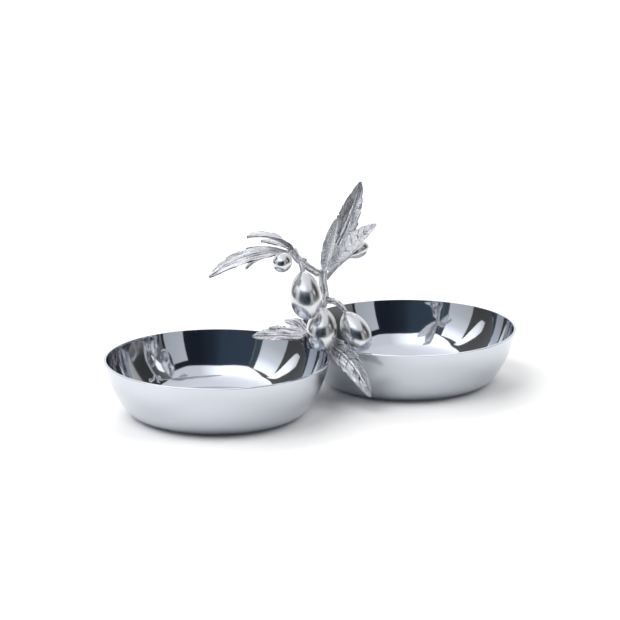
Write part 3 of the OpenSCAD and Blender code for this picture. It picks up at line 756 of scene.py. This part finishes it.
class DISH_OT_bowls(bpy.types.Operator):
    """Spins the two bowls"""

    bl_idname = "dish.bowls"
    bl_label = "Make bowls"

    def execute(self, context):
        sizes = context.scene.dish_bowls
        guide = line_object("bowl_profile", self.profile(sizes))
        tree = turned_rule()
        for node, low, high in (("left_bowl", LEFT_LOW, LEFT_HIGH), ("right_bowl", RIGHT_LOW, RIGHT_HIGH)):
            middle = Matrix.Translation(((low.x + high.x) / 2, (low.y + high.y) / 2, low.z))
            piece = grow(f"spun_{node}", tree, {
                "Profile": guide, "Profile Points": len(guide.data.vertices), "Inside From": LAST_OUTSIDE,
                "Segments": sizes.segments, "Material": metal(context, "polished_steel")}, middle)
            dress(piece, node)
        bpy.data.objects.remove(guide)
        return {"FINISHED"}

    def profile(self, sizes):
        """The bowl's closed section: base, base curve, side, flat rim with two edges, and back inside."""
        rim_r = sizes.wall / 2
        rim = Vector((sizes.diameter / 2 - rim_r, sizes.height - rim_r))
        base = Vector((sizes.base_diameter / 2, sizes.base_radius))
        way = rim - base
        near, far = sizes.side_radius - sizes.base_radius, sizes.side_radius - rim_r
        turn = acos((near ** 2 + way.length_squared - far ** 2) / (2 * near * way.length))
        angle = atan2(way.y, way.x) + turn
        side = base + near * Vector((cos(angle), sin(angle)))
        blend = angle - pi
        top = atan2(rim.y - side.y, rim.x - side.x)

        def arc(middle, radius, start, stop, steps):
            angles = [start + (stop - start) * i / steps for i in range(steps + 1)]
            return [middle + radius * Vector((cos(a), sin(a))) for a in angles]

        edge, across = sizes.rim_edge, Vector((cos(top), sin(top)))
        shoulder = rim + Vector((-across.y, across.x)) * (rim_r - edge)
        points = [Vector((base.x * i / BASE_STEPS, 0)) for i in range(BASE_STEPS)]
        points += arc(base, sizes.base_radius, -pi / 2, blend, CURVE_STEPS)
        points += arc(side, sizes.side_radius, blend, top, SIDE_STEPS)[1:]
        points += arc(shoulder + across * (rim_r - edge), edge, top, top + pi / 2, EDGE_STEPS)
        points += arc(shoulder - across * (rim_r - edge), edge, top + pi / 2, top + pi, EDGE_STEPS)
        points += arc(side, sizes.side_radius - sizes.wall, top, blend, SIDE_STEPS)[1:]
        points += arc(base, sizes.base_radius - sizes.wall, blend, -pi / 2, CURVE_STEPS)[1:]
        points += [Vector((base.x * i / BASE_STEPS, sizes.wall)) for i in reversed(range(BASE_STEPS))]
        return [(p.x, 0, p.y) for p in points]


# Steps of the saddle's section: across its underside, up its skirt, over its dome and across its top
UNDER_STEPS, SKIRT_STEPS, DOME_STEPS, CAP_STEPS = 10, 16, 24, 5


class DISH_OT_saddle(bpy.types.Operator):
    """Casts the saddle that joins the rims"""

    bl_idname = "dish.saddle"
    bl_label = "Make saddle"

    def execute(self, context):
        sizes, leaf = context.scene.dish_branch, context.scene.dish_leaves
        wide, neck = sizes.saddle_diameter / 2, sizes.stem[0] / 2 + sizes.solder
        rise, low = sizes.saddle_rise, -sizes.saddle_skirt
        wall = sizes.saddle_leaf + leaf.petiole / 2 + sizes.solder
        angles = [pi / 2 * i / DOME_STEPS for i in range(DOME_STEPS + 1)]
        dome = [(neck + (wide - neck) * cos(a), 0, wall + (rise - wall) * sin(a)) for a in angles]
        skirt = [(wide, 0, low + (wall - low) * i / SKIRT_STEPS) for i in range(SKIRT_STEPS)]
        under = [(wide * i / UNDER_STEPS, 0, low) for i in range(UNDER_STEPS)]
        cap = [(neck * i / CAP_STEPS, 0, rise) for i in reversed(range(CAP_STEPS))]
        guide = line_object("saddle_profile", under + skirt + dome + cap)
        # The saddle's finish is painted darker as painted shade, for the saddle sits in the shadow under
        # the olives and leaves
        piece = grow("cast_rim_saddle", turned_rule(), {
            "Profile": guide, "Profile Points": len(guide.data.vertices), "Segments": 160, "Ridges": 9.0,
            "Groove": sizes.groove * 0.6, "Gnarl": sizes.gnarl * 0.5, "Seed": 3.0,
            "Material": metal(context, "oxidised_saddle")}, Matrix.Translation(rim_top(context)))
        dress(piece, "rim_saddle")
        bpy.data.objects.remove(guide)
        return {"FINISHED"}


def bark_piece(context, name, tree, points, foot, top, *, ridges, twist, seed, rings):
    """Bark along points, as one piece."""
    sizes = context.scene.dish_branch
    guide = line_object(name + "_path", points)
    piece = grow(name, tree, {
        "Path": guide, "Foot Radius": foot / 2, "Top Radius": top / 2, "Ridges": float(ridges),
        "Groove": sizes.groove, "Gnarl": sizes.gnarl, "Twist": twist, "Rings": rings, "Sides": 64,
        "Seed": float(seed), "Material": metal(context, "oxidised_bark")})
    bpy.data.objects.remove(guide)
    return piece


def merge(piece, other):
    """Adds another piece's mesh to a piece."""
    both = bmesh.new()
    both.from_mesh(piece.data)
    both.from_mesh(other.data)
    both.to_mesh(piece.data)
    both.free()
    bpy.data.objects.remove(other)


# Steps along the stem and the twig, along the stub and along a stalk
PATH_STEPS, STUB_STEPS, STALK_STEPS = 80, 12, 40


class DISH_OT_stems(bpy.types.Operator):
    """Casts the main stem and the side twig with its cut stub"""

    bl_idname = "dish.stems"
    bl_label = "Make stem and twig"

    def execute(self, context):
        sizes, tree = context.scene.dish_branch, bark_rule()
        (stem, foot, top), (twig, root, end) = carriers(context).values()
        points = [path_point(stem, i / PATH_STEPS) for i in range(PATH_STEPS + 1)]
        points[0] = points[0] - Vector((0, 0, STEM_SINK))
        piece = bark_piece(context, "cast_main_stem", tree, points, foot, top,
                           ridges=6, twist=0.8, seed=1, rings=160)
        dress(piece, "main_stem")
        points = [path_point(twig, i / PATH_STEPS) for i in range(PATH_STEPS + 1)]
        points[0] = points[0] + (points[0] - points[1]).normalized() * TWIG_SINK
        piece = bark_piece(context, "cast_left_twig", tree, points, root, end,
                           ridges=5, twist=0.6, seed=2, rings=140)
        start = path_point(twig, STUB_SHARE)
        tip = start + aim_dir(STUB_AIM) * STUB_LENGTH * MM
        points = [start.lerp(tip, i / STUB_STEPS) for i in range(STUB_STEPS + 1)]
        merge(piece, bark_piece(context, "twig_stub", tree, points, root + (end - root) * STUB_SHARE,
                                sizes.stalk, ridges=5, twist=0.2, seed=5, rings=24))
        dress(piece, "left_twig")
        return {"FINISHED"}


class DISH_OT_stalks(bpy.types.Operator):
    """Casts the ridged stalks of the olives"""

    bl_idname = "dish.stalks"
    bl_label = "Make olive stalks"

    def execute(self, context):
        sizes, tree = context.scene.dish_branch, bark_rule()
        for seed, (name, carrier, along, aim, droop, stalk, root) in enumerate(OLIVES, start=11):
            foot = getattr(sizes, root)
            place = carried_seat(context, carrier, along, aim, foot)
            points = [place @ arc_point(stalk * MM, radians(droop), i / STALK_STEPS)
                      for i in range(STALK_STEPS + 1)]
            points[0] = place @ Vector((-STALK_SINK, 0, 0))
            piece = bark_piece(context, f"cast_{name}_olive_stalk", tree, points, foot, sizes.stalk,
                               ridges=4, twist=0.35, seed=seed, rings=90)
            dress(piece, f"{name}_olive_stalk")
        return {"FINISHED"}


class DISH_OT_olives(bpy.types.Operator):
    """Casts the five polished olives"""

    bl_idname = "dish.olives"
    bl_label = "Make olives"

    def execute(self, context):
        sizes, branch, tree = context.scene.dish_olives, context.scene.dish_branch, olive_rule()
        for seed, (name, carrier, along, aim, droop, stalk, root) in enumerate(OLIVES):
            place = (carried_seat(context, carrier, along, aim, getattr(branch, root))
                     @ Matrix.Translation(arc_point(stalk * MM, radians(droop), 1))
                     @ Matrix.Rotation(radians(droop), 4, "Y") @ Matrix.Translation((branch.solder, 0, 0)))
            reach, thick = getattr(sizes, name)
            piece = grow(f"cast_{name}_olive", tree, {
                "Length": reach, "Thickness": thick, "Belly": sizes.belly, "Taper": sizes.taper,
                "Blunt": sizes.blunt, "Neck": branch.stalk / 2 + NECK_ROOM, "Wobble": sizes.wobble,
                "Seed": float(seed), "Material": metal(context, "polished_olive")}, place)
            dress(piece, f"{name}_olive")
        return {"FINISHED"}


class DISH_OT_leaves(bpy.types.Operator):
    """Casts the ten toothed and veined leaves"""

    bl_idname = "dish.leaves"
    bl_label = "Make leaves"

    def execute(self, context):
        sizes, tree = context.scene.dish_leaves, leaf_rule()
        for seed, (node, size, *pose, veins, painted_light, edge) in enumerate(LEAVES, start=1):
            carrier, along, aim, droop, turn = pose
            place = carried_seat(context, carrier, along, aim, sizes.petiole)
            if size == "front":
                fall = (sizes.front_tip - place.translation.z) * radians(droop)
                reach = fall / (cos(radians(aim[1] - droop)) - cos(radians(aim[1])))
            else:
                reach = getattr(sizes, size)
            side = size.endswith("_side")
            teeth, stations, strips = SIDE_LEAF_PARTS if side else LEAF_PARTS
            # Each leaf gets its painted light and its painted edge shade from the table; negative values
            # paint shade over the whole leaf and a highlight along its edge
            piece = grow(f"cast_{node}", tree, {
                "Length": reach, "Width": sizes.side_width if side else sizes.width, "Teeth": float(teeth),
                "Droop": radians(droop), "Foot Turn": radians(turn[0]), "Tip Turn": radians(turn[1]),
                "Thickness": sizes.thickness, "Midrib": sizes.midrib, "Vein": sizes.vein,
                "Vein Share": float(veins), "Rub": float(painted_light), "Dark Edge": float(edge),
                "Petiole": sizes.petiole, "Tip": sizes.tip, "Fold": sizes.fold, "Tooth Depth": sizes.tooth,
                "Root": LEAF_SINK, "Grain": sizes.grain, "Stations": stations, "Strips": strips,
                "Seed": seed, "Material": metal(context, "oxidised_leaf")}, place)
            dress(piece, node)
        return {"FINISHED"}


# Lamps that the metal doesn't mirror: name, heading to the picture's left of the camera, height, watts
LAMPS = (
    ("front_lamp", 45, 60, 46), ("left_lamp", 100, 42, 39), ("right_lamp", -75, 54, 34),
    ("back_lamp", 170, 42, 41),
)
# Cards round the dish that only the metal mirrors, from the farthest to the nearest: name, colour, and
# columns of heading to the picture's left of the camera with pairs of height and brightness, in degrees
CARDS = (
    ("dome", (0.99, 1, 1.045), (
        (180, -4, 1.1, 50, 1, 66, 1, 90, 1), (125, -4, 1.2, 50, 1.4, 66, 1.2, 90, 1),
        (60, -4, 1.2, 50, 1.8, 66, 1.3, 90, 1), (5, -4, 1.2, 50, 1.75, 66, 1.2, 90, 1),
        (-25, -4, 0.8, 50, 0.85, 66, 0.95, 90, 1), (-90, -4, 0.8, 50, 0.8, 66, 0.9, 90, 1),
        (-125, -4, 1, 50, 0.9, 66, 0.9, 90, 1), (-180, -4, 1.1, 50, 1, 66, 1, 90, 1))),
    ("back_strip", (1, 1, 1), ((205, 36, 1.8, 45, 1.8), (155, 36, 1.8, 45, 1.8))),
    ("left_wall", (1, 0.98, 0.95), (
        (122, -4, 0.12, 50, 0.22), (105, -4, 0.07, 50, 0.16), (85, -4, 0.06, 45.5, 0.13),
        (65, -4, 0.07, 41.2, 0.12), (52, -4, 0.07, 40, 0.1))),
    ("left_gap", (0.6, 0.8, 1), ((52, -4, 0.1, 40, 0.12), (42, -4, 0.1, 39.2, 0.12))),
    ("front_wall", (0.46, 0.67, 0.97), (
        (42, -4, 0.1, 39.2, 0.1), (20, -4, 0.1, 41.6, 0.1), (6, -4, 0.09, 43.1, 0.09),
        (-4, -4, 0.05, 43.2, 0.05), (-20, -4, 0.03, 42.2, 0.03), (-40, -4, 0.03, 39.8, 0.03),
        (-62, -4, 0.04, 39.8, 0.04))),
    ("right_wall", (1, 0.99, 0.97), (
        (-62, -4, 0.3, 14, 0.16, 39.8, 0.1), (-76, -4, 0.3, 14, 0.16, 46, 0.2),
        (-90, -4, 0.35, 14, 0.05, 50, 0.04), (-120, -4, 0.35, 14, 0.06, 51, 0.06))),
    ("left_panel", (0.94, 0.98, 1.02), (
        (80, -4, 0.5, 16, 0.64, 27, 1, 33, 1.6, 37.5, 1.8),
        (50, -4, 0.58, 16, 0.7, 27, 0.95, 33, 1.5, 39.3, 1.8))),
    ("right_panel", (0.94, 0.98, 1.02), (
        (-36.5, -4, 0.58, 34.8, 0.7), (-59, -4, 0.5, 34.4, 0.58))),
    ("left_strip", (1, 1, 1), (
        (101.5, 10, 0.7, 17, 0.9), (96.5, 10, 0.8, 24, 1.5), (94.5, 11, 0.9, 26, 1.7),
        (92, 13.5, 1, 29, 1.8), (89, 17.5, 1.3, 32.5, 1.8), (85.5, 23.5, 1.6, 36, 1.8),
        (82, 31, 1.8, 38.5, 1.8), (78, 36, 1.5, 40, 1.5), (75, 39.6, 1, 41, 1))),
    ("right_strip", (1, 1, 1), (
        (-68, 34, 1.2, 36, 1.2), (-71, 30.5, 1.4, 36.5, 1.4), (-74, 26.5, 1.5, 36, 1.5),
        (-78, 20.5, 1.5, 33.5, 1.5), (-80, 18, 1.4, 31, 1.4))),
    ("right_stripe", (1, 0.98, 0.93), (
        (-109, 4, 0.06, 46, 0.06), (-112, 4, 0.5, 46, 0.4), (-125, 4, 0.6, 46, 0.5))),
    ("stand", (0.9, 0.95, 1), ((43.8, 2, 0.1, 36, 0.2), (42.4, 2, 0.1, 36, 0.2))),
)
# Distance of the first card and how much nearer each next one is, in metres
CARD_DISTANCE, CARD_STEP = 3, 0.05
# Faces of a card between two columns and between two heights
CARD_ACROSS, CARD_UP = 12, 8
# The dark end of the table in front of the dish, which the olives mirror: half width, near and far edge
APRON = (0.9, 0.34, 3.5)
APRON_GLOW = (0.03, 0.045, 0.07)
# Half width and grey of the table
TABLE, TABLE_GREY = 8, 0.95


def outlook(turn, rise):
    """Unit vector from a turn round the dish, counted from its front, and a rise."""
    return Vector((sin(turn) * cos(rise), -cos(turn) * cos(rise), sin(rise)))


class DISH_OT_stage(bpy.types.Operator):
    """Sets the floor, the light and the camera"""

    bl_idname = "dish.stage"
    bl_label = "Make stage"

    def execute(self, context):
        studio, scene = context.scene.dish_studio, context.scene
        back = outlook(studio.azimuth, studio.elevation)
        self.floor()
        self.sky(scene, studio.sky_light)
        for lamp in LAMPS:
            self.lamp(studio, *lamp)
        for i, (name, colour, columns) in enumerate(CARDS):
            self.card(studio.azimuth, CARD_DISTANCE - CARD_STEP * i, name, colour, columns)
        self.apron(studio.azimuth)
        lens = bpy.data.cameras.new("camera")
        lens.lens, lens.sensor_width, lens.clip_end = studio.lens, 36, 50
        camera = put("camera", lens)
        camera.location = Vector(studio.target) + back * studio.distance
        camera.rotation_euler = back.to_track_quat("Z", "Y").to_euler()
        scene.camera = camera
        scene.view_settings.view_transform = "Standard"
        return {"FINISHED"}

    def floor(self):
        """A plain pale table top."""
        mesh = bpy.data.meshes.new("floor")
        corners = ((-1, -1, 0), (1, -1, 0), (1, 1, 0), (-1, 1, 0))
        mesh.from_pydata([Vector(c) * TABLE for c in corners], [], [(0, 1, 2, 3)])
        paint = bpy.data.materials.new("pale_table")
        paint.use_nodes = True
        shader = paint.node_tree.nodes["Principled BSDF"]
        shader.inputs["Base Color"].default_value = (TABLE_GREY, TABLE_GREY, TABLE_GREY, 1)
        shader.inputs["Roughness"].default_value = 1
        shader.inputs["Specular IOR Level"].default_value = 0
        mesh.materials.append(paint)
        floor = put("floor", mesh)

    def sky(self, scene, strength):
        """Even soft light on the table, which the metal doesn't mirror."""
        scene.world = bpy.data.worlds.new("soft_light")
        scene.world.use_nodes = True
        light = scene.world.node_tree.nodes["Background"]
        light.inputs["Color"].default_value = (1, 1, 1, 1)
        light.inputs["Strength"].default_value = strength
        scene.world.cycles_visibility.glossy = False

    def lamp(self, studio, name, heading, height, watts):
        """A large soft lamp above the dish, which the metal doesn't mirror."""
        way = outlook(studio.azimuth - radians(heading), radians(height))
        light = bpy.data.lights.new(name, "AREA")
        light.shape, light.size, light.energy = "SQUARE", studio.lamp_size, watts
        lamp = put(name, light)
        lamp.location = way * studio.lamp_distance
        lamp.rotation_euler = way.to_track_quat("Z", "Y").to_euler()
        lamp.visible_glossy = False

    def card(self, azimuth, distance, name, colour, columns):
        """A part of a sphere round the dish, with its brightness between the stops of its columns."""
        points, glow = [], []
        columns = [(heading, tuple(zip(stops[::2], stops[1::2]))) for heading, *stops in columns]
        rows = (len(columns[0][1]) - 1) * CARD_UP + 1
        runs = [(a, b, i / CARD_ACROSS) for a, b in zip(columns, columns[1:]) for i in range(CARD_ACROSS)]
        runs.append((columns[-2], columns[-1], 1))
        for (turn_a, stops_a), (turn_b, stops_b), t in runs:
            turn = azimuth - radians(turn_a + (turn_b - turn_a) * t)
            stops = [[p + (q - p) * t for p, q in zip(*both)] for both in zip(stops_a, stops_b)]
            for j in range(rows):
                i = min(j // CARD_UP, len(stops) - 2)
                u = j / CARD_UP - i
                rise, strength = [p + (q - p) * u for p, q in zip(stops[i], stops[i + 1])]
                points.append(outlook(turn, radians(rise)) * distance)
                glow.append([c * strength for c in colour])
        faces = [(i * rows + j, (i + 1) * rows + j, (i + 1) * rows + j + 1, i * rows + j + 1)
                 for i in range(len(runs) - 1) for j in range(rows - 1)]
        self.panel(name, points, faces, glow)

    def apron(self, azimuth):
        """The dark end of the table in front of the dish."""
        half, near, far = APRON
        turn = Matrix.Rotation(azimuth, 4, "Z")
        corners = ((-half, -far, MM), (half, -far, MM), (half, -near, MM), (-half, -near, MM))
        self.panel("apron", [turn @ Vector(c) for c in corners], [(0, 1, 2, 3)], [APRON_GLOW] * 4)

    def panel(self, name, points, faces, glow):
        """A mesh that glows with a colour on each point, seen only in the metal."""
        mesh = bpy.data.meshes.new(name)
        mesh.from_pydata([tuple(p) for p in points], [], faces)
        held = mesh.attributes.new("glow", "FLOAT_COLOR", "POINT")
        for item, colour in zip(held.data, glow):
            item.color = (*colour, 1)
        mesh.materials.append(self.glow())
        card = put(name, mesh)
        card.visible_camera = card.visible_diffuse = card.visible_shadow = False

    def glow(self):
        """The material of the cards, which takes its colour from their points."""
        paint = bpy.data.materials.get("card_glow")
        if paint:
            return paint
        paint = bpy.data.materials.new("card_glow")
        paint.use_nodes = True
        paint.cycles.emission_sampling = "NONE"
        paint.node_tree.nodes.clear()
        net = Net(paint.node_tree)
        colour = net.add("ShaderNodeAttribute", out="Color", attribute_name="glow")
        net.add("ShaderNodeOutputMaterial", {"Surface": net.add("ShaderNodeEmission", {"Color": colour})})
        return paint


class DISH_PT_panel(bpy.types.Panel):
    """Lists the dish's sizes, finishes and operators"""

    bl_idname = "DISH_PT_panel"
    bl_label = "Olive dish"
    bl_space_type = "VIEW_3D"
    bl_region_type = "UI"
    bl_category = "Olive dish"

    def draw(self, context):
        for group in GROUPS:
            box = self.layout.box()
            box.label(text=group.__doc__)
            settings = getattr(context.scene, GROUPS[group])
            for key in group.__annotations__:
                box.prop(settings, key)
        for operator in OPERATORS:
            self.layout.operator(operator.bl_idname)


GROUPS = {
    BowlSizes: "dish_bowls", BranchSizes: "dish_branch", OliveSizes: "dish_olives",
    LeafSizes: "dish_leaves", MetalColours: "dish_colours", StudioSettings: "dish_studio",
}
OPERATORS = (DISH_OT_stage, DISH_OT_bowls, DISH_OT_saddle, DISH_OT_stems, DISH_OT_stalks, DISH_OT_olives,
             DISH_OT_leaves)


def register():
    for kind in (*GROUPS, *OPERATORS, DISH_PT_panel):
        bpy.utils.register_class(kind)
    for group, name in GROUPS.items():
        setattr(bpy.types.Scene, name, PointerProperty(type=group))


def unregister():
    for name in GROUPS.values():
        delattr(bpy.types.Scene, name)
    for kind in reversed((*GROUPS, *OPERATORS, DISH_PT_panel)):
        bpy.utils.unregister_class(kind)


def main():
    register()
    bpy.ops.dish.stage()
    bpy.ops.dish.bowls()
    bpy.ops.dish.saddle()
    bpy.ops.dish.stems()
    bpy.ops.dish.stalks()
    bpy.ops.dish.olives()
    bpy.ops.dish.leaves()


if __name__ == "__main__":
    main()
